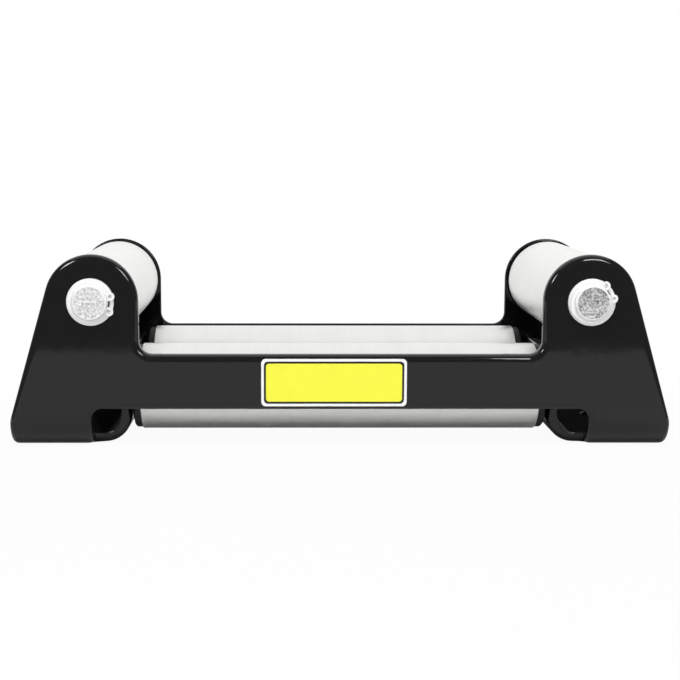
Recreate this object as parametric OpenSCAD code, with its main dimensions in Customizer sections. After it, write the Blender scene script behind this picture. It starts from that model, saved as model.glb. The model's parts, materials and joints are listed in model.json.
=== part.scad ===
// Four-way roller fairlead: a frame bent from one steel plate carries two long rollers
// and, above their ends, two short ones. A winch line runs out between the four.
// The frame lies on its mounting face. X runs along the long rollers, Y along the short
// rollers, and Z points away from the mounting face. The origin is the centre of that face.

/* [Rollers] */
// Outside diameter of every roller
roller_d = 39.5; // [34:0.5:46]
// Wall of the roller tubes
roller_wall = 3; // [2:0.5:5]
// Length of the long rollers' tubes
long_tube_length = 181; // [140:1:230]
// Gap between the two long rollers, where the line passes
line_gap = 23; // [12:1:45]
// Gap from a long roller to the side plate beside it
side_gap = 1.5; // [0.5:0.1:5]
// Gap from a long roller to the plane of the mounting face
floor_gap = 4.35; // [1:0.05:12]
// Gap from a long roller up to a short roller
stack_gap = 2.4; // [1:0.1:8]
// Gap from a bush to the plate that faces it
end_play = 1.3; // [0.3:0.1:3]
// Chamfer on the ends of the roller tubes
tube_chamfer = 0.4; // [0.2:0.1:1]

/* [Frame] */
// Thickness of the steel plate
plate_t = 4.5; // [3:0.5:6]
// Outside radius of every bend
bend_r = 12; // [8:0.5:15]
// How far an ear's edge stands outside the roller that it holds
ear_lip = 1.15; // [0.5:0.05:6]
// Distance from a tab's inner face out to the short roller's axis
ear_offset = 15.8; // [10:0.1:24]
// Height of the bridges' lower edge above the mounting face
bridge_bottom = 17.3; // [12:0.1:26]
// Height of the bridges from their lower edge to their upper edge
bridge_height = 25; // [16:0.1:30]
// Fillet between an ear and a bridge
ear_fillet = 6; // [2:0.5:10]
// Flat stretch between a tab's bend and the bend relief
tongue_length = 4.3; // [2:0.1:12]
// Fillet in the corner of the bend relief
relief_fillet = 4.5; // [2:0.5:8]
// Length of each foot, from the bend relief to the frame's end
foot_length = 37; // [34:0.5:60]
// Rounding of the side plates' lower outer corners
foot_corner_r = 16; // [6:0.5:16]
// Distance from a long roller's axis up to the tab's upper edge
tab_margin = 17; // [13:0.5:20]
// Rounding of the tabs' upper corners
tab_corner_r = 12; // [4:0.5:14]

/* [Mounting] */
// Distance between the two mounting holes
bolt_spacing = 254; // [240:1:270]
// Diameter of the mounting holes
bolt_hole_d = 13; // [9:0.5:15]

/* [Bushes] */
// Thickness of a bush's flange
bush_flange_t = 3.4; // [2:0.1:6]
// How far a bush's flange stands inside the roller's surface
bush_flange_step = 0.55; // [0.3:0.05:2]
// Chamfer on the outer edge of a bush's flange
bush_chamfer = 0.8; // [0.3:0.1:1.5]
// Length of a bush's sleeve inside the tube
bush_sleeve_length = 18; // [8:1:30]

/* [Pins, washers and circlips] */
// Diameter of every pin
pin_d = 16; // [12:0.5:18]
// Length of a pin past its circlip
pin_tip = 1.8; // [1.2:0.1:5]
// Chamfer on the ends of a pin
pin_chamfer = 0.6; // [0.4:0.1:1.1]
// Thickness of a washer
washer_t = 1.6; // [0.8:0.1:3]
// Width of a washer's ring
washer_rim = 1.8; // [1.5:0.1:4]
// Thickness of a circlip
clip_t = 1.2; // [0.8:0.1:2]
// Width of a circlip opposite its gap
clip_back = 2.2; // [1.6:0.1:3]
// Width of a circlip next to its lugs
clip_front = 1.4; // [1:0.1:1.6]
// Radius of a circlip's lugs
clip_lug_r = 1.9; // [1.5:0.1:2.4]
// Diameter of the holes in a circlip's lugs
clip_lug_hole_d = 1.7; // [1:0.1:2]
// Angle from the middle of a circlip's gap to each lug
clip_lug_angle = 21; // [18:1:30]
// Angle from the middle of a circlip's gap to its edge
clip_gap_angle = 9.5; // [5:0.5:12]
// Depth of the circlip grooves in a pin
groove_depth = 0.5; // [0.3:0.05:1]

/* [Blank label] */
// Length of the label
label_length = 65; // [40:1:100]
// Thickness of the label
label_t = 0.3; // [0.2:0.05:0.6]
// Strip of bare bridge above and below the label
label_margin = 1.8; // [0.5:0.1:4]
// Distance from the middle of the front bridge to the middle of the label
label_x = -3; // [-20:1:20]
// Rounding of the label's corners
label_corner_r = 2; // [0.5:0.5:5]

/* [Clearances] */
// Radial clearance of a bush on its pin
running_gap = 0.06; // [0.02:0.01:0.1]
// Radial clearance of a pin in the frame
hole_gap = 0.1; // [0.05:0.05:0.3]
// Radial clearance of a washer on its pin
washer_gap = 0.7; // [0.1:0.1:1]
// Radial clearance of a bush's sleeve in its tube
press_gap = 0.02; // [0.01:0.01:0.05]
// Clearance round a circlip in its groove
groove_gap = 0.05; // [0.02:0.01:0.1]

/* [Hidden] */
$fn = 96;
// Overlap of shapes that are merged or cut
merge = 1;

roller_r = roller_d / 2;
pin_r = pin_d / 2;
hole_r = pin_r + hole_gap;
washer_bore_r = pin_r + washer_gap;
washer_r = washer_bore_r + washer_rim;
bolt_hole_r = bolt_hole_d / 2;
groove_r = pin_r - groove_depth;

long_y = line_gap / 2 + roller_r;
long_z = floor_gap + roller_r;
short_z = long_z + 2 * roller_r + stack_gap;

inner_width = line_gap + 2 * (roller_d + side_gap);
frame_width = inner_width + 2 * plate_t;
tab_x = long_tube_length / 2 + bush_flange_t + end_play;
tab_width = frame_width - 2 * bend_r;
tab_top = long_z + tab_margin;
short_x = tab_x + ear_offset;
ear_r = roller_r + ear_lip;
bridge_top = bridge_bottom + bridge_height;
relief_x = tab_x + bend_r + tongue_length;
foot_end = relief_x + foot_length;
frame_top = short_z + ear_r;

// The sloping edge runs from the foot's end, at the height of the bend, to the ear
slope_start = [foot_end, bend_r];
ear_centre = [short_x, short_z];
slope_reach = norm(ear_centre - slope_start);
slope_angle = atan2(short_z - bend_r, short_x - foot_end) - asin(ear_r / slope_reach);
slope_direction = [cos(slope_angle), sin(slope_angle)];
slope_end = slope_start + sqrt(slope_reach ^ 2 - ear_r ^ 2) * slope_direction;
corner_cut = foot_corner_r * tan((slope_angle - 90) / 2);

label_height = bridge_height - 2 * label_margin;
label_z = bridge_bottom + bridge_height / 2;

clip_inner_r = groove_r + groove_gap;
clip_lug_reach = clip_inner_r + clip_lug_r;
groove_width = clip_t + 2 * groove_gap;

// A station is one roller on its pin: its name, its two ends' names, the place of its
// middle, the turn that lays its own Z axis along the pin, the distances from its middle
// to the inner and outer faces of the plates that hold the pin, and how its circlips lie
along_x_angles = [0, 90, 0];
along_y_angles = [-90, 0, 0];
long_ends = ["left", "right"];
short_ends = ["front", "rear"];
long_faces = [tab_x, tab_x + plate_t];
short_faces = [inner_width / 2, frame_width / 2];
STATIONS = [
    ["front_long", long_ends, [0, -long_y, long_z], along_x_angles, long_faces, [180, 150]],
    ["rear_long", long_ends, [0, long_y, long_z], along_x_angles, long_faces, [200, 170]],
    ["left_short", short_ends, [-short_x, 0, short_z], along_y_angles, short_faces, [5, -60]],
    ["right_short", short_ends, [short_x, 0, short_z], along_y_angles, short_faces, [-32, 120]],
];
function station_name(s) = s[0];
function end_name(s, side) = s[1][side < 0 ? 0 : 1];
function middle(s) = s[2];
function lay(s) = s[3];
function inner_face(s) = s[4][0];
function outer_face(s) = s[4][1];
function clip_turn(s, side) = s[5][side < 0 ? 0 : 1];
function tube_half(s) = inner_face(s) - end_play - bush_flange_t;
function groove_start(s) = outer_face(s) + washer_t;
function pin_half(s) = groove_start(s) + groove_width + pin_tip;
function tube_node(s) = str(station_name(s), "_roller");
function pin_node(s) = str(station_name(s), "_pin");
function end_node(s, piece, side) = str(station_name(s), "_", piece, "_", end_name(s, side));

SIDES = [-1, 1];

// Puts a shape drawn along its own Z axis on the pin of a station
module at_station(s) {
    translate(middle(s))
        rotate(lay(s))
            children();
}

// Puts a shape drawn for the upper end of a pin on either end
module at_end(side) {
    mirror([0, 0, side < 0 ? 1 : 0])
        children();
}

// A rectangle round the origin with round corners
module rounded_rectangle(length, height, corner_r) {
    square([length, height - 2 * corner_r], center = true);
    square([length - 2 * corner_r, height], center = true);
    for (x = SIDES, y = SIDES)
        translate([x * (length / 2 - corner_r), y * (height / 2 - corner_r)])
            circle(corner_r);
}

// The concave fillet in a corner of two edges that run up and to the right from the origin
module corner_fillet(fillet_r) {
    difference() {
        translate([-merge, -merge])
            square(fillet_r + merge);
        translate([fillet_r, fillet_r])
            circle(fillet_r);
    }
}

// Right half of a side plate, seen along Y: foot, sloping edge, ear and half the bridge
module half_side_outline() {
    polygon([
        [relief_x, 0],
        [foot_end, 0],
        slope_start - [0, corner_cut],
        slope_start + corner_cut * slope_direction,
        slope_end,
        ear_centre,
        [short_x - ear_r, short_z],
        [short_x - ear_r, bridge_bottom],
        [relief_x, bridge_bottom],
    ]);
    translate(ear_centre)
        circle(ear_r);
    intersection() {
        translate([foot_end - foot_corner_r, bend_r - corner_cut])
            circle(foot_corner_r);
        translate([relief_x + merge, 0])
            square([foot_length, frame_top]);
    }
    translate([0, bridge_bottom])
        square([short_x, bridge_height]);
    translate([short_x - ear_r, bridge_top])
        mirror([1, 0])
            corner_fillet(ear_fillet);
    translate([relief_x, bridge_bottom])
        mirror([1, 0])
            mirror([0, 1])
                corner_fillet(relief_fillet);
}

// Upright U of the bent plate, seen along X, as wide as given and with its own bend radius
module channel_outline(width, base, outer_r) {
    translate([-width / 2, base + outer_r])
        square([width, frame_top]);
    translate([outer_r - width / 2, base])
        square([width - 2 * outer_r, frame_top]);
    for (side = SIDES)
        translate([side * (width / 2 - outer_r), base + outer_r])
            circle(outer_r);
}

// Side plates and feet: the bent U, cut to the outline of the side plates
module bent_sides() {
    intersection() {
        rotate([90, 0, 0])
            linear_extrude(frame_width + 2 * merge, center = true)
                for (side = [0, 1])
                    mirror([side, 0])
                        half_side_outline();
        rotate([90, 0, 90])
            linear_extrude(2 * (foot_end + merge), center = true)
                difference() {
                    channel_outline(frame_width, 0, bend_r);
                    channel_outline(inner_width, plate_t, bend_r - plate_t);
                }
    }
}

// The tongue that runs on from a foot and curls up, seen along Y
module tongue_outline() {
    translate([tab_x + bend_r, 0])
        square([tongue_length + merge, plate_t]);
    translate([tab_x + bend_r, bend_r])
        intersection() {
            difference() {
                circle(bend_r);
                circle(bend_r - plate_t);
            }
            translate([-2 * bend_r, -2 * bend_r])
                square(2 * bend_r);
        }
}

// The upright tab at the end of a tongue, seen along X
module tab_outline() {
    translate([-tab_width / 2, bend_r])
        square([tab_width, tab_top - tab_corner_r - bend_r]);
    translate([tab_corner_r - tab_width / 2, bend_r])
        square([tab_width - 2 * tab_corner_r, tab_top - bend_r]);
    for (side = SIDES)
        translate([side * (tab_width / 2 - tab_corner_r), tab_top - tab_corner_r])
            circle(tab_corner_r);
}

module curled_tab() {
    rotate([90, 0, 0])
        linear_extrude(tab_width, center = true)
            tongue_outline();
    translate([tab_x, 0, 0])
        rotate([90, 0, 90])
            linear_extrude(plate_t)
                tab_outline();
}

module frame() {
    color("#1d1d1f")
        difference() {
            union() {
                bent_sides();
                for (side = [0, 1])
                    mirror([side, 0, 0])
                        curled_tab();
            }
            for (s = STATIONS)
                at_station(s)
                    cylinder(r = hole_r, h = 2 * (outer_face(s) + merge), center = true);
            for (side = SIDES)
                translate([side * bolt_spacing / 2, 0, -merge])
                    cylinder(r = bolt_hole_r, h = plate_t + 2 * merge);
        }
}

module blank_label() {
    color("#f4ec3c")
        translate([label_x, -frame_width / 2, label_z])
            rotate([90, 0, 0])
                linear_extrude(label_t)
                    rounded_rectangle(label_length, label_height, label_corner_r);
}

// A roller's steel tube with chamfered ends
module roller(s) {
    half = tube_half(s);
    bore_r = roller_r - roller_wall;
    color("#d9dadb")
        at_station(s)
            rotate_extrude()
                polygon([
                    [bore_r + tube_chamfer, -half],
                    [roller_r - tube_chamfer, -half],
                    [roller_r, tube_chamfer - half],
                    [roller_r, half - tube_chamfer],
                    [roller_r - tube_chamfer, half],
                    [bore_r + tube_chamfer, half],
                    [bore_r, half - tube_chamfer],
                    [bore_r, tube_chamfer - half],
                ]);
}

// A nylon bush: a sleeve in the tube's end and a flange that covers the end
module bush(s, side) {
    seat = tube_half(s);
    bore_r = pin_r + running_gap;
    sleeve_r = roller_r - roller_wall - press_gap;
    flange_r = roller_r - bush_flange_step;
    color("#202022")
        at_station(s)
            at_end(side)
                rotate_extrude()
                    polygon([
                        [bore_r, seat - bush_sleeve_length],
                        [sleeve_r, seat - bush_sleeve_length],
                        [sleeve_r, seat],
                        [flange_r, seat],
                        [flange_r, seat + bush_flange_t - bush_chamfer],
                        [flange_r - bush_chamfer, seat + bush_flange_t],
                        [bore_r, seat + bush_flange_t],
                    ]);
}

// A pin with chamfered ends and a groove for the circlip near each
module pin(s) {
    half = pin_half(s);
    groove = groove_start(s);
    upper_profile = [
        [pin_r, groove],
        [groove_r, groove],
        [groove_r, groove + groove_width],
        [pin_r, groove + groove_width],
        [pin_r, half - pin_chamfer],
        [pin_r - pin_chamfer, half],
        [0, half],
    ];
    lower_profile = [for (i = [len(upper_profile) - 1:-1:0]) [upper_profile[i].x, -upper_profile[i].y]];
    color("#c9cacc")
        at_station(s)
            rotate_extrude()
                polygon(concat(lower_profile, upper_profile));
}

module washer(s, side) {
    color("#dcdddf")
        at_station(s)
            at_end(side)
                translate([0, 0, outer_face(s)])
                    linear_extrude(washer_t)
                        difference() {
                            circle(washer_r);
                            circle(washer_bore_r);
                        }
}

// An external circlip: a tapering ring with a gap, and a drilled lug on each side of it
module circlip_outline() {
    lug_end = clip_lug_reach + 2 * clip_lug_r;
    difference() {
        union() {
            translate([(clip_front - clip_back) / 2, 0])
                circle(clip_inner_r + (clip_front + clip_back) / 2);
            for (side = SIDES)
                rotate(side * clip_lug_angle)
                    translate([clip_lug_reach, 0])
                        circle(clip_lug_r);
        }
        circle(clip_inner_r);
        for (side = SIDES)
            rotate(side * clip_lug_angle)
                translate([clip_lug_reach, 0])
                    circle(d = clip_lug_hole_d);
        polygon([
            [0, 0],
            lug_end * [1, -tan(clip_gap_angle)],
            lug_end * [1, tan(clip_gap_angle)],
        ]);
    }
}

module circlip(s, side) {
    color("#d2d3d5")
        at_station(s)
            at_end(side)
                translate([0, 0, groove_start(s) + groove_gap])
                    rotate(clip_turn(s, side))
                        linear_extrude(clip_t)
                            circlip_outline();
}

frame();
blank_label();
for (s = STATIONS) {
    roller(s);
    pin(s);
    for (side = SIDES) {
        bush(s, side);
        washer(s, side);
        circlip(s, side);
    }
}
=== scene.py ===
# %% [markdown]
# # A four-way roller fairlead
#
# A winch line runs out between four steel rollers. A frame bent from one plate carries them: two long
# rollers lie side by side, and two short ones stand across their ends. The solid model of all the pieces
# comes in as a fixed frame, at its real size in metres. This lesson dresses it: the turned pieces are
# modelled anew with more sides, the plate gets its rounded and coated edges, and every surface gets a
# finish. Nothing is moved, so each new piece takes its sizes and its place from the frame.

# %% Load the frame
import json
import math

import bpy
import numpy as np
from mathutils import Euler, Matrix, Vector

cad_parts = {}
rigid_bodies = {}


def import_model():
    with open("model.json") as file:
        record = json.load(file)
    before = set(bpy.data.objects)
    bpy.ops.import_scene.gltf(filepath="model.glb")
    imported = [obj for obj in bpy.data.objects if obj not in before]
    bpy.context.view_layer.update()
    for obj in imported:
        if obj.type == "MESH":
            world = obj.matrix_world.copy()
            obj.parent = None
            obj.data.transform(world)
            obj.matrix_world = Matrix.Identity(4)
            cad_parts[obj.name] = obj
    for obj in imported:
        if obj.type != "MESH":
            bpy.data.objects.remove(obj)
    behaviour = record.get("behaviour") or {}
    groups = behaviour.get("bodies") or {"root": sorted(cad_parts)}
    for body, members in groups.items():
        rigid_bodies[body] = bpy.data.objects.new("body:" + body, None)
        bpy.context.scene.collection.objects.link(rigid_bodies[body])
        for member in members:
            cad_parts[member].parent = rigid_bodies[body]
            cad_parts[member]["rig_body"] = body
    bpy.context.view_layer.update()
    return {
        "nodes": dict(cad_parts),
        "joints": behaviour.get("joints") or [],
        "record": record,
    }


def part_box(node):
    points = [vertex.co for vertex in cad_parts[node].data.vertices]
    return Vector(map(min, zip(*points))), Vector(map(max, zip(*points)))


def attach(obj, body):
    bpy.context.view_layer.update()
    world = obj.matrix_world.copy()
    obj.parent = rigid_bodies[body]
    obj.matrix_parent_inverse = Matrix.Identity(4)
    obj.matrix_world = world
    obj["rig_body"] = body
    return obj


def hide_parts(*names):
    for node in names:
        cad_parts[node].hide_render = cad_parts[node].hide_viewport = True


for start_object in list(bpy.data.objects):
    bpy.data.objects.remove(start_object)
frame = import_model()
MM = 0.001

# %% [markdown]
# ## Stations
#
# Each roller turns on its own pin, and the joints of the frame say where: a point on the pin and the
# direction of the pin. A station keeps those two with the names of its two ends. The helper `rings`
# reads a turned solid as pairs of distance along the pin and radius, which is all that a lathe needs.

# %% Stations and their measures
END_NAMES = {"x": ("left", "right"), "y": ("front", "rear")}
stations = {}
for joint in frame["joints"]:
    along = "x" if abs(joint["axis"][0]) > abs(joint["axis"][1]) else "y"
    stations[joint["child"].removesuffix("_roller")] = {
        "middle": Vector(joint["pos_m"]),
        "along": along,
        "ends": END_NAMES[along],
    }


def rings(node_name, station):
    """Distances along the pin and radii of a turned solid's vertices, in metres."""
    points = np.array([v.co for v in frame["nodes"][node_name].data.vertices])
    offsets = points - np.array(station["middle"])
    column = "xyz".index(station["along"])
    heights = offsets[:, column]
    radii = np.hypot(*np.delete(offsets, column, axis=1).T)
    return heights, radii


for name, station in stations.items():
    print(name, "runs along", station["along"], "through", [round(c / MM, 2) for c in station["middle"]])

# %% [markdown]
# ## Small tools for the bench
#
# Blender's operators act on what is selected, and the solids are still selected after loading. So each
# step first clears the selection and takes one object in hand. A finished piece keeps its object at the
# origin with its place in its mesh, as the solids do.

# %% Bench tools
LARGE_FACE_WEIGHT = 100


def take_in_hand(piece):
    bpy.ops.object.select_all(action="DESELECT")
    piece.select_set(True)
    bpy.context.view_layer.objects.active = piece


def clear_marks(mesh):
    """Deselects every vertex, edge and face."""
    for item in (*mesh.vertices, *mesh.edges, *mesh.polygons):
        item.select = False


def apply_modifier(piece, kind, **settings):
    """Adds a modifier with these settings and applies it."""
    take_in_hand(piece)
    modifier = piece.modifiers.new(kind.lower(), kind)
    for setting, value in settings.items():
        setattr(modifier, setting, value)
    bpy.ops.object.modifier_apply(modifier=modifier.name)


def smooth_flats_and_curves(piece):
    """Smooth shading that keeps flat faces flat: large faces decide the normals at their edges."""
    take_in_hand(piece)
    bpy.ops.object.shade_smooth()
    apply_modifier(piece, "WEIGHTED_NORMAL", mode="FACE_AREA", weight=LARGE_FACE_WEIGHT)


def copy_of(piece, name):
    """A copy with its own mesh."""
    take_in_hand(piece)
    bpy.ops.object.duplicate(linked=False)
    copy = bpy.context.object
    copy.name = name
    copy.data.name = name
    return copy


def dress(piece, node_name, slot_name, *materials):
    """Adds materials to a piece, and lets it stand for its solid and ride on the solid's body."""
    for material in materials:
        piece.data.materials.append(material)
    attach(piece, frame["nodes"][node_name]["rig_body"])
    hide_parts(node_name)


print("bench tools ready")

# %% [markdown]
# ## Finishes
#
# Every finish is a Principled shader with procedural textures on Object coordinates, so it looks the same
# from all sides and stays put when a roller turns. Small helpers save typing: one starts a material, one
# adds a noise texture whose grain is given as a real size, and a few more turn that noise into colour,
# gloss and bumps. Most finishes need one of each, so the last helper puts those together.

# %% Helpers for textures
NOISE_LOW, NOISE_HIGH = 0.3, 0.7


def start_finish(name, **sockets):
    """A new material and its Principled shader with constant sockets set."""
    material = bpy.data.materials.new(name)
    material.use_nodes = True
    shader = material.node_tree.nodes["Principled BSDF"]
    for socket, value in sockets.items():
        shader.inputs[socket.replace("_", " ").title().replace("Ior", "IOR")].default_value = value
    return material, shader


def feed(material, value, socket):
    material.node_tree.links.new(value, socket)


def grain(material, size, detail=2.0, stretch=(1.0, 1.0, 1.0)):
    """A noise with spots of about this size in metres, longer along axes with a large stretch."""
    nodes = material.node_tree.nodes
    place = nodes.new("ShaderNodeTexCoord")
    scale = nodes.new("ShaderNodeMapping")
    noise = nodes.new("ShaderNodeTexNoise")
    scale.inputs["Scale"].default_value = [1 / (size * s) for s in stretch]
    noise.inputs["Scale"].default_value = 1.0
    noise.inputs["Detail"].default_value = detail
    feed(material, place.outputs["Object"], scale.inputs["Vector"])
    feed(material, scale.outputs["Vector"], noise.inputs["Vector"])
    return noise.outputs["Fac"]


def spread(material, factor, low, high):
    """Maps the middle of a noise's values to the range from low to high."""
    node = material.node_tree.nodes.new("ShaderNodeMapRange")
    node.inputs["From Min"].default_value = NOISE_LOW
    node.inputs["From Max"].default_value = NOISE_HIGH
    node.inputs["To Min"].default_value = low
    node.inputs["To Max"].default_value = high
    feed(material, factor, node.inputs["Value"])
    return node.outputs["Result"]


print("texture helpers ready")

# %% Helpers for colour, bumps and a whole finish


def tint(material, factor, dark, light):
    """A colour between two colours, chosen by a factor."""
    node = material.node_tree.nodes.new("ShaderNodeMix")
    node.data_type = "RGBA"
    node.inputs["A"].default_value = (*dark, 1)
    node.inputs["B"].default_value = (*light, 1)
    feed(material, factor, node.inputs["Factor"])
    return node.outputs["Result"]


def blend_halves(material, one, other):
    """A colour halfway between two colours."""
    node = material.node_tree.nodes.new("ShaderNodeMix")
    node.data_type = "RGBA"
    feed(material, one, node.inputs["A"])
    feed(material, other, node.inputs["B"])
    return node.outputs["Result"]


def relief(material, shader, *layers):
    """Bump from several heights, each given as a factor and its depth in metres."""
    normal = None
    for factor, depth in layers:
        node = material.node_tree.nodes.new("ShaderNodeBump")
        node.inputs["Distance"].default_value = depth
        feed(material, factor, node.inputs["Height"])
        if normal:
            feed(material, normal, node.inputs["Normal"])
        normal = node.outputs["Normal"]
    feed(material, normal, shader.inputs["Normal"])


def clouded_finish(name, tones, tone_size, roughness, rough_size, bumps, **sockets):
    """A finish whose colour and gloss vary in clouds, with one or more layers of bumps."""
    material, shader = start_finish(name, **sockets)
    cloud = tint(material, grain(material, tone_size), *tones)
    feed(material, cloud, shader.inputs["Base Color"])
    gloss = spread(material, grain(material, rough_size), *roughness)
    feed(material, gloss, shader.inputs["Roughness"])
    layers = [(grain(material, bump["size"], bump["detail"]), bump["depth"]) for bump in bumps]
    relief(material, shader, *layers)
    return material


print("finish helpers ready")

# %% [markdown]
# ## Black powder coat
#
# The frame is sprayed with powder and baked to a deep gloss. The melt never lies quite flat: a slow
# waviness of several millimetres bends the reflections, and a finer orange peel breaks up their edges.
# Both are only a few hundredths of a millimetre deep or less, so bump is the right tool for them.

# %% Powder coat
WAVES = {"size": 9 * MM, "detail": 1.0, "depth": 0.03 * MM}
ORANGE_PEEL = {"size": 1.3 * MM, "detail": 1.0, "depth": 0.006 * MM}
COAT = clouded_finish(
    "powder_coat", tones=((0.0038,) * 3, (0.0052,) * 3), tone_size=3 * MM,
    roughness=(0.05, 0.075), rough_size=2 * MM, bumps=[WAVES, ORANGE_PEEL], ior=1.5,
)
print("made", COAT.name)

# %% [markdown]
# ## The bent frame
#
# The plate's outline is punched, so its edges are rolled over on the outside and stay crisp on the inside,
# and the drilled holes have the smallest rounds of all. Those rounds catch the light and are what makes
# the plate look like plate. Modelling the frame again would only repeat the solid, so this takes a copy of
# it, merges its loose triangles and joins the ones that lie in one plane. A skin of the plate is then
# selected as by hand: one face, all faces that run on smoothly from it, and the loop round them.

# %% Copy of the frame
SAME_PLACE = 0.01 * MM
SAME_PLANE = math.radians(0.5)


def merged_copy(node_name, name):
    """A copy of a solid's mesh with its triangles joined to flat faces."""
    node = frame["nodes"][node_name]
    piece = bpy.data.objects.new(name, node.data.copy())
    piece.data.materials.clear()
    bpy.context.scene.collection.objects.link(piece)
    take_in_hand(piece)
    bpy.ops.object.mode_set(mode="EDIT")
    bpy.ops.mesh.select_all(action="SELECT")
    bpy.ops.mesh.customdata_custom_splitnormals_clear()
    bpy.ops.mesh.remove_doubles(threshold=SAME_PLACE)
    bpy.ops.mesh.dissolve_limited(angle_limit=SAME_PLANE)
    bpy.ops.object.mode_set(mode="OBJECT")
    return piece


frame_plate = merged_copy("frame", "frame_plate")
print("flat faces of the frame:", len(frame_plate.data.polygons))

# %% Places of the drilled holes
HOLE_ROOM = 0.3 * MM
hole_axes = []
for name, station in stations.items():
    direction = Vector((1, 0, 0)) if station["along"] == "x" else Vector((0, 1, 0))
    heights, radii = rings(f"{name}_pin", station)
    hole_axes.append((station["middle"], direction, radii.max()))
bolt_pattern = next(mount for mount in frame["record"]["mounts"] if mount["kind"] == "bolt_pattern")
bolt_holes = bolt_pattern["dims"]
for side in (-1, 1):
    place = Vector((side * bolt_holes["spacing_x_mm"] / 2 * MM, 0, 0))
    hole_axes.append((place, Vector((0, 0, 1)), bolt_holes["hole_r_mm"] * MM))


def at_hole(mesh, edge):
    """Whether the middle of an edge lies on the rim of a drilled hole."""
    middle = (mesh.vertices[edge.vertices[0]].co + mesh.vertices[edge.vertices[1]].co) / 2
    return any((middle - point).cross(along).length < r + HOLE_ROOM for point, along, r in hole_axes)


print("drilled holes run along", len(hole_axes), "lines")

# %% Rounded edges
SHARP = math.radians(40)
OUTSIDE_EDGE_R = 3.5 * MM
OUTSIDE_STEPS = 12
INSIDE_EDGE_R = 0.6 * MM
INSIDE_STEPS = 4
HOLE_EDGE_R = 0.5 * MM
HOLE_STEPS = 3
FULL_ROUND = 0.62
TRUE_ROUND = 0.5
FACES_FRONT = -0.99


def round_edges(mesh, edges, radius, steps, profile):
    """Bevels only these edges of the piece in hand. A high profile keeps the corner full."""
    clear_marks(mesh)
    for edge in edges:
        edge.select = True
    bpy.ops.object.mode_set(mode="EDIT")
    bpy.ops.mesh.select_mode(type="EDGE")
    bpy.ops.mesh.bevel(
        offset=radius, segments=steps, profile=profile, affect="EDGES",
        clamp_overlap=False, loop_slide=False,
    )
    bpy.ops.object.mode_set(mode="OBJECT")


def round_skin(piece, side, radius, steps, profile):
    """Rounds the outline of a skin of the plate, starting from a face that looks to the front.

    On the outer skin that face lies in front (-1), on the inner skin behind (1).
    """
    take_in_hand(piece)
    bpy.ops.object.mode_set(mode="EDIT")
    bpy.ops.mesh.select_mode(type="FACE")
    bpy.ops.mesh.select_all(action="DESELECT")
    bpy.ops.object.mode_set(mode="OBJECT")
    mesh = piece.data
    facing = [p for p in mesh.polygons if p.normal.y < FACES_FRONT and p.center.y * side > 0]
    max(facing, key=lambda polygon: polygon.area).select = True
    bpy.ops.object.mode_set(mode="EDIT")
    bpy.ops.mesh.faces_select_linked_flat(sharpness=SHARP)
    bpy.ops.mesh.region_to_loop()
    bpy.ops.object.mode_set(mode="OBJECT")
    outline = [e for e in mesh.edges if e.select and not at_hole(mesh, e)]
    round_edges(mesh, outline, radius, steps, profile)


def round_holes(piece, radius, steps):
    take_in_hand(piece)
    bpy.ops.object.mode_set(mode="EDIT")
    bpy.ops.mesh.select_mode(type="EDGE")
    bpy.ops.mesh.select_all(action="DESELECT")
    bpy.ops.mesh.edges_select_sharp(sharpness=SHARP)
    bpy.ops.object.mode_set(mode="OBJECT")
    mesh = piece.data
    rims = [e for e in mesh.edges if e.select and at_hole(mesh, e)]
    round_edges(mesh, rims, radius, steps, TRUE_ROUND)


round_skin(frame_plate, 1, INSIDE_EDGE_R, INSIDE_STEPS, FULL_ROUND)
round_skin(frame_plate, -1, OUTSIDE_EDGE_R, OUTSIDE_STEPS, FULL_ROUND)
round_holes(frame_plate, HOLE_EDGE_R, HOLE_STEPS)
smooth_flats_and_curves(frame_plate)
dress(frame_plate, "frame", "black_coat", COAT)
print("faces with rounded edges:", len(frame_plate.data.polygons))

# %% [markdown]
# ## A lathe from extrude and resize
#
# Rollers, bushes, pins and washers are all turned, so they share one way of modelling: start with a
# circle, extrude it ring by ring along the axis, and resize each ring to its radius. A tube's last ring
# is bridged to its first, and a solid bar's two ends are filled. A small bevel then breaks the edges.

# %% Lathe
SIDES = 144
EDGE_STEPS = 3
QUARTER_TURN = math.radians(90)
TURN_TO_AXIS = {"x": (0, QUARTER_TURN, 0), "y": (-QUARTER_TURN, 0, 0)}


def break_edges(piece, edge_r):
    """Rounds every sharp edge of a piece."""
    where = {"limit_method": "ANGLE", "angle_limit": SHARP}
    apply_modifier(piece, "BEVEL", width=edge_r, segments=EDGE_STEPS, **where)


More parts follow.
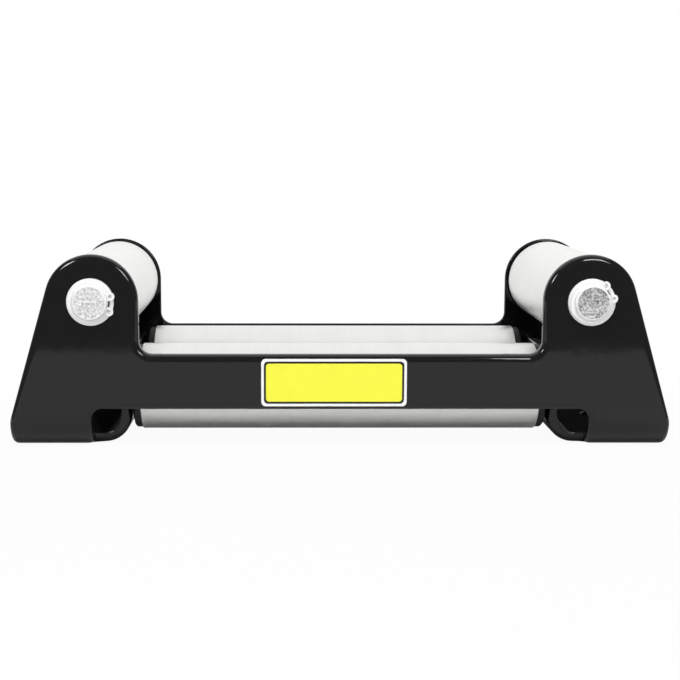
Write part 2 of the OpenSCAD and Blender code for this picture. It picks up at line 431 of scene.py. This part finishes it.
def turned(name, profile, edge_r, hollow):
    """A piece turned about Z from (height, radius) pairs, with its edges broken by a small round."""
    height, radius = profile[0]
    bpy.ops.object.select_all(action="DESELECT")
    bpy.ops.mesh.primitive_circle_add(vertices=SIDES, radius=radius, location=(0, 0, 0))
    piece = bpy.context.object
    piece.name = name
    piece.data.name = name
    bpy.ops.object.mode_set(mode="EDIT")
    bpy.ops.mesh.select_mode(type="EDGE")
    bpy.ops.mesh.select_all(action="SELECT")
    bpy.ops.transform.translate(value=(0, 0, height))
    for next_height, next_radius in profile[1:]:
        bpy.ops.mesh.extrude_region_move(TRANSFORM_OT_translate={"value": (0, 0, next_height - height)})
        share = next_radius / radius
        bpy.ops.transform.resize(value=(share, share, 1), center_override=(0, 0, next_height))
        height, radius = next_height, next_radius
    bpy.ops.mesh.select_all(action="DESELECT")
    bpy.ops.mesh.select_non_manifold(extend=False)
    if hollow:
        bpy.ops.mesh.bridge_edge_loops()
    else:
        bpy.ops.mesh.fill_holes(sides=0)
    bpy.ops.mesh.select_all(action="SELECT")
    bpy.ops.mesh.normals_make_consistent(inside=False)
    bpy.ops.object.mode_set(mode="OBJECT")
    break_edges(piece, edge_r)
    return piece


def set_on_station(piece, station, end=1):
    """Lays a piece turned about Z on a station's pin. End -1 turns it round to the other end."""
    take_in_hand(piece)
    turn = Euler(TURN_TO_AXIS[station["along"]])
    if end < 0:
        turn.rotate(Matrix.Rotation(math.pi, 3, "Z"))
    piece.rotation_euler = turn
    piece.location = station["middle"]
    bpy.ops.object.transform_apply(location=True, rotation=True, scale=True)


print("lathe ready,", SIDES, "sides")

# %% [markdown]
# ## Turned steel
#
# The rollers are cut on a lathe to a pale satin. The tool leaves rings round the axis, far shallower than
# a hair is thick, which only show as faint lines across the roller. Noise that is squeezed along the axis
# and drawn out across it gives those rings. The long and the short rollers lie along different axes, so
# each pair has its own finish. The short ones get paler tones: painted light that brightens their sides.

# %% Turned steel
TOOL_RING = 0.35 * MM
TOOL_RING_DEPTH = 0.002 * MM
RINGS_IN_BAND = 12
ROUND_THE_AXIS = 300.0
SATIN_CLOUD = 14 * MM
SATIN_ROUGHNESS = (0.32, 0.40)
LONG_ROLLER_TONES = ((0.82, 0.817, 0.80), (0.88, 0.877, 0.86))
# The short rollers' paler tones are painted light that brightens their sides.
PAINTED_LIGHT_TONES = ((0.89, 0.887, 0.87), (0.95, 0.947, 0.93))


def turned_steel(name, along, tones, metallic):
    """Satin steel with tool rings round this axis."""
    material, shader = start_finish(name, metallic=metallic)
    stretch = [1.0 if axis == along else ROUND_THE_AXIS for axis in "xyz"]
    tool_rings = grain(material, TOOL_RING, detail=3.0, stretch=stretch)
    broad_rings = grain(material, RINGS_IN_BAND * TOOL_RING, detail=1.0, stretch=stretch)
    clouds = grain(material, SATIN_CLOUD, detail=3.0)
    feed(material, tint(material, broad_rings, *tones), shader.inputs["Base Color"])
    feed(material, spread(material, clouds, *SATIN_ROUGHNESS), shader.inputs["Roughness"])
    relief(material, shader, (tool_rings, TOOL_RING_DEPTH))
    return material


# The short rollers take the paler tones, which are painted light.
ROLLER_STEEL = {
    "x": turned_steel("long_turned_steel", "x", LONG_ROLLER_TONES, metallic=0.9),
    "y": turned_steel("painted_light_turned_steel", "y", PAINTED_LIGHT_TONES, metallic=0.8),
}
print("made", [m.name for m in ROLLER_STEEL.values()])

# %% [markdown]
# ## Roller tubes
#
# A roller is a length of tube with faced ends. Its length, radius and bore come from the solid. The two
# long ones are the same, and so are the two short ones, so each is modelled once and copied.

# %% Roller tubes
TUBE_EDGE_R = 0.4 * MM
tube_models = {}
for name, station in stations.items():
    along = station["along"]
    heights, radii = rings(f"{name}_roller", station)
    half, outer, bore = heights.max(), radii.max(), radii.min()
    if along not in tube_models:
        tube_profile = [(-half, bore), (-half, outer), (half, outer), (half, bore)]
        tube_models[along] = turned(f"{name}_tube", tube_profile, TUBE_EDGE_R, hollow=True)
        smooth_flats_and_curves(tube_models[along])
    tube = copy_of(tube_models[along], f"{name}_tube_piece")
    set_on_station(tube, station)
    dress(tube, f"{name}_roller", "roller_steel", ROLLER_STEEL[along])
    print(tube.name, "length", round(2 * half / MM, 1), "mm, radius", round(outer / MM, 2), "mm")
for model in tube_models.values():
    bpy.data.objects.remove(model)

# %% [markdown]
# ## Nylon bushes
#
# A bush closes each end of a tube: a sleeve sits in the tube, and a flange covers the tube's end and
# rubs on the plate. Black nylon has a dull sheen with a faint moulded grain.

# %% Nylon
MOULD_GRAIN = {"size": 0.4 * MM, "detail": 2.0, "depth": 0.01 * MM}
NYLON = clouded_finish(
    "moulded_nylon", tones=((0.007,) * 3, (0.01,) * 3), tone_size=4 * MM,
    roughness=(0.38, 0.5), rough_size=1.5 * MM, bumps=[MOULD_GRAIN], specular_ior_level=0.35,
)
print("made", NYLON.name)

# %% Bushes
BUSH_EDGE_R = 0.25 * MM
bush_models = {}
for name, station in stations.items():
    along = station["along"]
    for end, end_name in zip((-1, 1), station["ends"]):
        node_name = f"{name}_bush_{end_name}"
        if along not in bush_models:
            heights, radii = rings(node_name, station)
            heights = np.abs(heights)
            inner_end, outer_end = heights.min(), heights.max()
            flange, bore = radii.max(), radii.min()
            sleeve = radii[heights < inner_end + SAME_PLACE].max()
            face = radii[heights > outer_end - SAME_PLACE].max()
            on_rim = heights[radii > flange - SAME_PLACE]
            bush_profile = [
                (inner_end, bore), (inner_end, sleeve), (on_rim.min(), sleeve), (on_rim.min(), flange),
                (on_rim.max(), flange), (outer_end, face), (outer_end, bore),
            ]
            bush_models[along] = turned(f"{along}_bush", bush_profile, BUSH_EDGE_R, hollow=True)
            smooth_flats_and_curves(bush_models[along])
        bush = copy_of(bush_models[along], f"{node_name}_piece")
        set_on_station(bush, station, end)
        dress(bush, node_name, "nylon", NYLON)
for model in bush_models.values():
    bpy.data.objects.remove(model)
print("bushes made, flange radius", round(flange / MM, 2), "mm")

# %% [markdown]
# ## Pins
#
# The pins are bright zinc plated bar with a groove near each end for a circlip. Their ends were sheared
# and plated over, so they look speckled: small facets at all angles, some bright and some grey. Insets
# give the end face rings of vertices, and a small seeded random move turns those into facets. The left
# short pin's end gets a pale mottle, and the others get a greyer one.

# %% Zinc and sheared ends
PLATING_GRAIN = {"size": 0.5 * MM, "detail": 2.0, "depth": 0.02 * MM}
SPECKLE = 1.1 * MM
SPECKLE_DEPTH = 0.35 * MM
SPECKLE_SPREAD = (-0.6, 1.6)
PATCH = 4.0 * MM
PATCH_SPREAD = (-0.4, 1.4)
SHEARED_ROUGHNESS = (0.35, 0.55)


def sheared_zinc(name, spot_tones, patch_tones):
    """Plated facets: fine spots over broad patches, each between a dark and a pale grey."""
    material, shader = start_finish(name, metallic=0.4)
    speckle = grain(material, SPECKLE, detail=4.0)
    patches = grain(material, PATCH, detail=1.0)
    dark_spot, pale_spot = ((tone,) * 3 for tone in spot_tones)
    dark_patch, pale_patch = ((tone,) * 3 for tone in patch_tones)
    spots = tint(material, spread(material, speckle, *SPECKLE_SPREAD), dark_spot, pale_spot)
    broad = tint(material, spread(material, patches, *PATCH_SPREAD), dark_patch, pale_patch)
    mottle = blend_halves(material, spots, broad)
    feed(material, mottle, shader.inputs["Base Color"])
    feed(material, spread(material, patches, *SHEARED_ROUGHNESS), shader.inputs["Roughness"])
    relief(material, shader, (speckle, SPECKLE_DEPTH))
    return material


ZINC = clouded_finish(
    "bright_zinc", tones=((0.86,) * 3, (0.94,) * 3), tone_size=1.2 * MM,
    roughness=(0.4, 0.5), rough_size=0.8 * MM, bumps=[PLATING_GRAIN], metallic=0.15,
)
PALE_END = sheared_zinc("pale_sheared_zinc", spot_tones=(0.24, 0.98), patch_tones=(0.94, 0.98))
GREY_END = sheared_zinc("grey_sheared_zinc", spot_tones=(0.04, 0.88), patch_tones=(0.3, 0.66))
print("made", ZINC.name, PALE_END.name, GREY_END.name)

# %% Rough ends
PIN_EDGE_R = 0.2 * MM
END_RING = 1.1 * MM
END_RINGS = 5
END_ROUGHNESS = 0.05 * MM
END_DEPTH = 0.06 * MM
END_SEED = 7
EVEN_SHARE, OUTWARD_SHARE = 0.4, 0.6
FACES_END = 0.99


def roughen_ends(piece, half):
    """Insets a bar's two end faces, roughens what is inside, and gives it the second material."""
    bpy.context.scene.tool_settings.mesh_select_mode = (False, False, True)
    for side in (-1, 1):
        take_in_hand(piece)
        clear_marks(piece.data)
        for polygon in piece.data.polygons:
            faces_out = polygon.normal.z * side > FACES_END
            polygon.select = faces_out and abs(polygon.center.z - side * half) < PIN_EDGE_R
        bpy.ops.object.mode_set(mode="EDIT")
        bpy.ops.mesh.select_mode(type="FACE")
        bpy.ops.mesh.inset(thickness=PIN_EDGE_R)
        for _ in range(END_RINGS):
            bpy.ops.mesh.inset(thickness=END_RING)
        for _ in range(END_RINGS):
            bpy.ops.mesh.select_more()
        piece.active_material_index = 1
        bpy.ops.object.material_slot_assign()
        bpy.ops.mesh.select_less()
        bpy.ops.transform.translate(value=(0, 0, -side * END_DEPTH))
        bpy.ops.transform.vertex_random(
            offset=END_ROUGHNESS, uniform=EVEN_SHARE, normal=OUTWARD_SHARE, seed=END_SEED + side
        )
        bpy.ops.object.mode_set(mode="OBJECT")


print("ends get", END_RINGS, "rings")

# %% Pins
for name, station in stations.items():
    heights, radii = rings(f"{name}_pin", station)
    half, shaft = heights.max(), radii.max()
    face = radii[heights > half - SAME_PLACE].max()
    chamfer_start = heights[radii > shaft - SAME_PLACE].max()
    between = (heights > 0) & (heights < chamfer_start - SAME_PLACE)
    groove = radii[between].min()
    groove_near, groove_far = heights[between].min(), heights[between].max()
    upper_half = [
        (groove_near, shaft), (groove_near, groove), (groove_far, groove), (groove_far, shaft),
        (chamfer_start, shaft), (half, face),
    ]
    lower_half = [(-height, radius) for height, radius in reversed(upper_half)]
    pin = turned(f"{name}_pin_piece", lower_half + upper_half, PIN_EDGE_R, hollow=False)
    pin.data.materials.append(ZINC)
    pin.data.materials.append(PALE_END if name == "left_short" else GREY_END)
    roughen_ends(pin, half)
    smooth_flats_and_curves(pin)
    set_on_station(pin, station)
    dress(pin, f"{name}_pin", "pin_steel")
    print(pin.name, "groove from", round(groove_near / MM, 2), "to", round(groove_far / MM, 2), "mm")

# %% [markdown]
# ## Washers and circlips
#
# A washer lies on the plate at each end of a pin, and a circlip in the groove keeps it there. The washer
# is turned like the rest. The circlip is a tapering ring with two drilled lugs, stamped from spring
# steel. Its solid already has that outline, so a merged copy with softened edges is enough.

# %% Washers and circlips
WASHER_EDGE_R = 0.35 * MM
CLIP_EDGE_R = 0.38 * MM
for name, station in stations.items():
    for end, end_name in zip((-1, 1), station["ends"]):
        node_name = f"{name}_washer_{end_name}"
        heights, radii = rings(node_name, station)
        heights = np.abs(heights)
        near, far = heights.min(), heights.max()
        bore, rim = radii.min(), radii.max()
        washer_profile = [(near, bore), (near, rim), (far, rim), (far, bore)]
        washer = turned(f"{node_name}_piece", washer_profile, WASHER_EDGE_R, hollow=True)
        smooth_flats_and_curves(washer)
        set_on_station(washer, station, end)
        dress(washer, node_name, "zinc", ZINC)
        clip_node = f"{name}_circlip_{end_name}"
        circlip = merged_copy(clip_node, f"{clip_node}_piece")
        break_edges(circlip, CLIP_EDGE_R)
        smooth_flats_and_curves(circlip)
        dress(circlip, clip_node, "zinc", ZINC)
print("washer from radius", round(bore / MM, 2), "to", round(rim / MM, 2), "mm")

# %% [markdown]
# ## Blank label
#
# A film is stuck on the front bridge: a white border, a black line and a plain yellow field. Each colour
# is a layer of its own, laid over the one before, so every outline has its own rounded corners. A layer is
# a plane that is resized, has its corners rounded and is extruded to the layer's height.

# %% Label film
FILM_FADE = 0.96
FILM_WAVES = {"size": 8 * MM, "detail": 1.0, "depth": 0.02 * MM}


def printed_film(name, colour):
    faded = tuple(c * FILM_FADE for c in colour)
    return clouded_finish(
        name, tones=(faded, colour), tone_size=6 * MM,
        roughness=(0.3, 0.38), rough_size=5 * MM, bumps=[FILM_WAVES], ior=1.46,
    )


FILM_WHITE = printed_film("film_white", (0.95, 0.95, 0.95))
FILM_BLACK = printed_film("film_black", (0.012, 0.012, 0.012))
FILM_YELLOW = printed_film("film_yellow", (0.95, 0.93, 0.055))
print("made", FILM_WHITE.name, FILM_BLACK.name, FILM_YELLOW.name)

# %% Label
PRINT_STEP = 0.02 * MM
CORNER_STEPS = 10
LABEL_LAYERS = [
    {"material": FILM_WHITE, "margin": 0.0, "corner_r": 2.0 * MM},
    {"material": FILM_BLACK, "margin": 1.15 * MM, "corner_r": 1.8 * MM},
    {"material": FILM_YELLOW, "margin": 2.1 * MM, "corner_r": 1.4 * MM},
]
label_low, label_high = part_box("blank_label")
label_size = label_high - label_low
label_middle = (label_low + label_high) / 2


def film_layer(name, material, margin, corner_r, height):
    """A rounded sheet that lies on the bridge and stands out by this height."""
    bpy.ops.object.select_all(action="DESELECT")
    back = (label_middle.x, label_high.y, label_middle.z)
    bpy.ops.mesh.primitive_plane_add(size=1, location=back, rotation=(QUARTER_TURN, 0, 0))
    sheet = bpy.context.object
    sheet.name = name
    sheet.scale = (label_size.x - 2 * margin, label_size.z - 2 * margin, 1)
    bpy.ops.object.transform_apply(location=True, rotation=True, scale=True)
    sheet.data.materials.append(material)
    bpy.ops.object.mode_set(mode="EDIT")
    bpy.ops.mesh.select_mode(type="VERT")
    bpy.ops.mesh.select_all(action="SELECT")
    bpy.ops.mesh.bevel(offset=corner_r, segments=CORNER_STEPS, affect="VERTICES")
    bpy.ops.mesh.select_all(action="SELECT")
    bpy.ops.mesh.extrude_region_move(TRANSFORM_OT_translate={"value": (0, -height, 0)})
    bpy.ops.mesh.select_all(action="SELECT")
    bpy.ops.mesh.normals_make_consistent(inside=False)
    bpy.ops.object.mode_set(mode="OBJECT")
    return sheet


layers = []
for number, layer in enumerate(LABEL_LAYERS):
    layer_height = label_size.y - PRINT_STEP * (len(LABEL_LAYERS) - 1 - number)
    layers.append(film_layer(f"film_layer_{number}", height=layer_height, **layer))
bpy.ops.object.select_all(action="DESELECT")
for layer in layers:
    layer.select_set(True)
bpy.context.view_layer.objects.active = layers[0]
bpy.ops.object.join()
label = bpy.context.object
label.name = "blank_label_film"
dress(label, "blank_label", "label")
print("label", [round(c / MM, 2) for c in label_size], "mm")

# %% [markdown]
# ## Camera
#
# The camera stands in front of the frame, a little above it and left of its middle, and looks down by
# eight degrees. It is turned by its own three axes, and a small shift moves the picture's middle.

# %% Camera
CAMERA_PLACE = Vector((-23.28, -650.56, 132.66)) * MM
TURN_RIGHT, LOOK_DOWN, ROLL = 0.0085, 0.14, 0.0015
IMAGE_PIXELS = 680
FOCAL_PIXELS = 1348.5
MIDDLE_PIXELS = 300.0
SENSOR = 36.0
ahead = Vector((math.sin(TURN_RIGHT), math.cos(TURN_RIGHT), 0))
forward = math.cos(LOOK_DOWN) * ahead - math.sin(LOOK_DOWN) * Vector((0, 0, 1))
right = Vector((math.cos(TURN_RIGHT), -math.sin(TURN_RIGHT), 0))
up = right.cross(forward)
camera_right = math.cos(ROLL) * right + math.sin(ROLL) * up
camera_up = math.cos(ROLL) * up - math.sin(ROLL) * right
camera_data = bpy.data.cameras.new("camera")
camera_data.sensor_width = SENSOR
camera_data.lens = FOCAL_PIXELS / IMAGE_PIXELS * SENSOR
camera_data.shift_x = (IMAGE_PIXELS / 2 - MIDDLE_PIXELS) / IMAGE_PIXELS
camera = bpy.data.objects.new("camera", camera_data)
bpy.context.scene.collection.objects.link(camera)
camera_turn = Matrix((camera_right, camera_up, -forward)).transposed().to_4x4()
camera.matrix_world = Matrix.Translation(CAMERA_PLACE) @ camera_turn
bpy.context.scene.camera = camera
print("lens", round(camera_data.lens, 1), "mm, shift", round(camera_data.shift_x, 4))

# %% [markdown]
# ## Floor, flags and light
#
# The fairlead lies on a white table in front of a white backdrop. The table is white where the camera
# meets it, and keeps a soft shadow close to the object. A reflection sees its lit surface near the object
# and plain white further out, so the steel mirrors a white backdrop. Dark flags, seen only in
# reflections, stand in for the dark half of the studio: in front, overhead, on both sides and on the
# floor, with a pale table card between that last one and the object. Without them the black plate would
# mirror white all over. A dark card under each long roller deepens the shade along its underside. Two
# large soft lamps, above the front and behind, light both sides of the object and are themselves kept
# out of reflections. Two small boxes, left and right of the camera, draw the bright streaks along the
# rounded edges.

# %% Floor
FLOOR_SIZE = 12.0
SHADOW_MIDDLE = (0, -0.12, 0)
SHADOW_REACH = 0.35
CAMERA_WHITE = (0.95, 1.0)
MIRROR_WHITE = (0.0, 1.0)
TABLE_GREY = 0.68


def white_table():
    material = bpy.data.materials.new("white_table")
    material.use_nodes = True
    nodes, links = material.node_tree.nodes, material.node_tree.links
    nodes.clear()
    output = nodes.new("ShaderNodeOutputMaterial")
    mix = nodes.new("ShaderNodeMixShader")
    matt = nodes.new("ShaderNodeBsdfDiffuse")
    glow = nodes.new("ShaderNodeEmission")
    rays = nodes.new("ShaderNodeLightPath")
    place = nodes.new("ShaderNodeTexCoord")
    distance = nodes.new("ShaderNodeVectorMath")
    bent = nodes.new("ShaderNodeMath")
    total = nodes.new("ShaderNodeMath")
    matt.inputs["Color"].default_value = (TABLE_GREY, TABLE_GREY, TABLE_GREY, 1)
    distance.operation = "DISTANCE"
    distance.inputs[1].default_value = SHADOW_MIDDLE
    bent.operation = "MAXIMUM"
    total.operation = "ADD"
    links.new(place.outputs["Object"], distance.inputs[0])
    links.new(rays.outputs["Is Glossy Ray"], bent.inputs[0])
    links.new(rays.outputs["Is Transmission Ray"], bent.inputs[1])
    shares = ((rays.outputs["Is Camera Ray"], CAMERA_WHITE), (bent.outputs["Value"], MIRROR_WHITE))
    for slot, (kind_of_ray, (near, far)) in enumerate(shares):
        fade = nodes.new("ShaderNodeMapRange")
        share = nodes.new("ShaderNodeMath")
        fade.interpolation_type = "SMOOTHSTEP"
        fade.inputs["From Min"].default_value = SHADOW_REACH / 2
        fade.inputs["From Max"].default_value = SHADOW_REACH
        fade.inputs["To Min"].default_value = near
        fade.inputs["To Max"].default_value = far
        share.operation = "MULTIPLY"
        links.new(distance.outputs["Value"], fade.inputs["Value"])
        links.new(fade.outputs["Result"], share.inputs[0])
        links.new(kind_of_ray, share.inputs[1])
        links.new(share.outputs["Value"], total.inputs[slot])
    links.new(total.outputs["Value"], mix.inputs["Fac"])
    links.new(matt.outputs["BSDF"], mix.inputs[1])
    links.new(glow.outputs["Emission"], mix.inputs[2])
    links.new(mix.outputs["Shader"], output.inputs["Surface"])
    return material


bpy.ops.object.select_all(action="DESELECT")
bpy.ops.mesh.primitive_plane_add(size=FLOOR_SIZE, location=(0, 0, 0))
floor = bpy.context.object
floor.name = "floor"
floor.data.materials.append(white_table())
print("floor", FLOOR_SIZE, "m wide")

# %% Flag tools


def flag_paint(name, grey):
    material = bpy.data.materials.new(name)
    material.use_nodes = True
    nodes, links = material.node_tree.nodes, material.node_tree.links
    nodes.clear()
    output = nodes.new("ShaderNodeOutputMaterial")
    glow = nodes.new("ShaderNodeEmission")
    glow.inputs["Color"].default_value = (grey, grey, grey, 1)
    links.new(glow.outputs["Emission"], output.inputs["Surface"])
    return material


def flag(name, width, depth, location, rotation, paint):
    """A card that only reflections see."""
    bpy.ops.object.select_all(action="DESELECT")
    bpy.ops.mesh.primitive_plane_add(size=1, location=location, rotation=rotation)
    card = bpy.context.object
    card.name = name
    card.scale = (width, depth, 1)
    card.data.materials.append(paint)
    card.visible_camera = False
    card.visible_diffuse = False
    card.visible_shadow = False
    card.visible_transmission = False


print("flag tools ready")

# %% Flags
FLAG_EDGE = 0.352
FLAG_DEPTH = 1.0
FLAG_WIDTH = 6.0
FLAG_HEIGHT = 1.6
FLAG_LIFT = 0.5 * MM
FLAG_GREY = 0.225
TABLE_CARD_EDGE = 0.15
TABLE_CARD_GREY = 0.72
OVERHEAD_EDGE = 0.6
SIDE_WALL_X = 1.2
SIDE_WALL_END = 1.2
LYING = (0, 0, 0)
UPRIGHT = (QUARTER_TURN, 0, 0)
UPRIGHT_AT_SIDE = (QUARTER_TURN, 0, QUARTER_TURN)
FLAG_PAINT = flag_paint("flag_paint", FLAG_GREY)
CARD_PAINT = flag_paint("card_paint", TABLE_CARD_GREY)
wall_y = -FLAG_EDGE - FLAG_DEPTH
roof_depth = -OVERHEAD_EDGE - wall_y
card_depth = FLAG_EDGE - TABLE_CARD_EDGE
card_place = (0, -FLAG_EDGE + card_depth / 2, FLAG_LIFT)
floor_place = (0, wall_y + FLAG_DEPTH / 2, FLAG_LIFT)
front_place = (0, wall_y, FLAG_HEIGHT / 2)
roof_place = (0, wall_y + roof_depth / 2, FLAG_HEIGHT)
flag("table_card", FLAG_WIDTH, card_depth, card_place, LYING, CARD_PAINT)
flag("floor_flag", FLAG_WIDTH, FLAG_DEPTH, floor_place, LYING, FLAG_PAINT)
flag("front_flag", FLAG_WIDTH, FLAG_HEIGHT, front_place, UPRIGHT, FLAG_PAINT)
flag("roof_flag", FLAG_WIDTH, roof_depth, roof_place, LYING, FLAG_PAINT)
side_length = SIDE_WALL_END - wall_y
for side in (-1, 1):
    side_place = (side * SIDE_WALL_X, wall_y + side_length / 2, FLAG_HEIGHT / 2)
    flag(f"side_flag_{side}", side_length, FLAG_HEIGHT, side_place, UPRIGHT_AT_SIDE, FLAG_PAINT)
print("flags start", round(FLAG_EDGE / MM), "mm in front")

# %% Painted shadow cards under the long rollers
# Painted shadow: dark cards that only reflections see stand in for the shaded table under each long
# roller.
PAINTED_SHADOW_GREY = 0.09
UNDER_CARD_SHORT = 9 * MM
PAINTED_SHADOW_PAINT = flag_paint("painted_shadow_paint", PAINTED_SHADOW_GREY)
for name in ("front_long_roller", "rear_long_roller"):
    low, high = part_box(name)
    middle = (low + high) / 2
    inward = -math.copysign(UNDER_CARD_SHORT / 2, middle.y)
    under_place = (middle.x, middle.y + inward, FLAG_LIFT)
    under_depth = high.y - low.y - UNDER_CARD_SHORT
    flag(f"{name}_card", high.x - low.x, under_depth, under_place, LYING, PAINTED_SHADOW_PAINT)
print("cards under the rollers are", round(under_depth / MM, 1), "mm deep")

# %% World
WORLD_LIGHT = 0.15


def backdrop():
    world = bpy.data.worlds.new("backdrop")
    bpy.context.scene.world = world
    world.use_nodes = True
    nodes, links = world.node_tree.nodes, world.node_tree.links
    shade = nodes["Background"]
    rays = nodes.new("ShaderNodeLightPath")
    first = nodes.new("ShaderNodeMath")
    second = nodes.new("ShaderNodeMath")
    level = nodes.new("ShaderNodeMapRange")
    first.operation = "MAXIMUM"
    second.operation = "MAXIMUM"
    level.inputs["To Min"].default_value = WORLD_LIGHT
    level.inputs["To Max"].default_value = 1.0
    shade.inputs["Color"].default_value = (1, 1, 1, 1)
    links.new(rays.outputs["Is Camera Ray"], first.inputs[0])
    links.new(rays.outputs["Is Glossy Ray"], first.inputs[1])
    links.new(first.outputs["Value"], second.inputs[0])
    links.new(rays.outputs["Is Transmission Ray"], second.inputs[1])
    links.new(second.outputs["Value"], level.inputs["Value"])
    links.new(level.outputs["Result"], shade.inputs["Strength"])


backdrop()
print("world light", WORLD_LIGHT)

# %% Lamps
AIM = Vector((0, 0, 0.04))
ABOVE_FRONT = (0, -0.45, 1)
BEHIND = (0.25, 1.0, 0.3)
LEFT_OF_CAMERA = (-0.516, -0.740, 0.430)
RIGHT_OF_CAMERA = (0.326, -0.864, 0.384)
LARGE_LAMP = {"distance": 1.3, "size": 0.6, "mirrored": False}
SMALL_BOX = {"distance": 1.2, "power": 3.2, "mirrored": True}


def softbox(name, direction, distance, size, power, mirrored):
    """A square lamp that shines at the object, and that reflections see or don't see."""
    lamp = bpy.data.lights.new(name, "AREA")
    lamp.shape = "SQUARE"
    lamp.size = size
    lamp.energy = power
    box = bpy.data.objects.new(name, lamp)
    bpy.context.scene.collection.objects.link(box)
    box.location = AIM + Vector(direction).normalized() * distance
    box.rotation_euler = (AIM - box.location).to_track_quat("-Z", "Y").to_euler()
    box.visible_glossy = mirrored


softbox("overhead", ABOVE_FRONT, power=12.0, **LARGE_LAMP)
softbox("behind", BEHIND, power=7.5, **LARGE_LAMP)
softbox("left_box", LEFT_OF_CAMERA, size=0.22, **SMALL_BOX)
softbox("right_box", RIGHT_OF_CAMERA, size=0.3, **SMALL_BOX)
bpy.context.scene.view_settings.view_transform = "Standard"
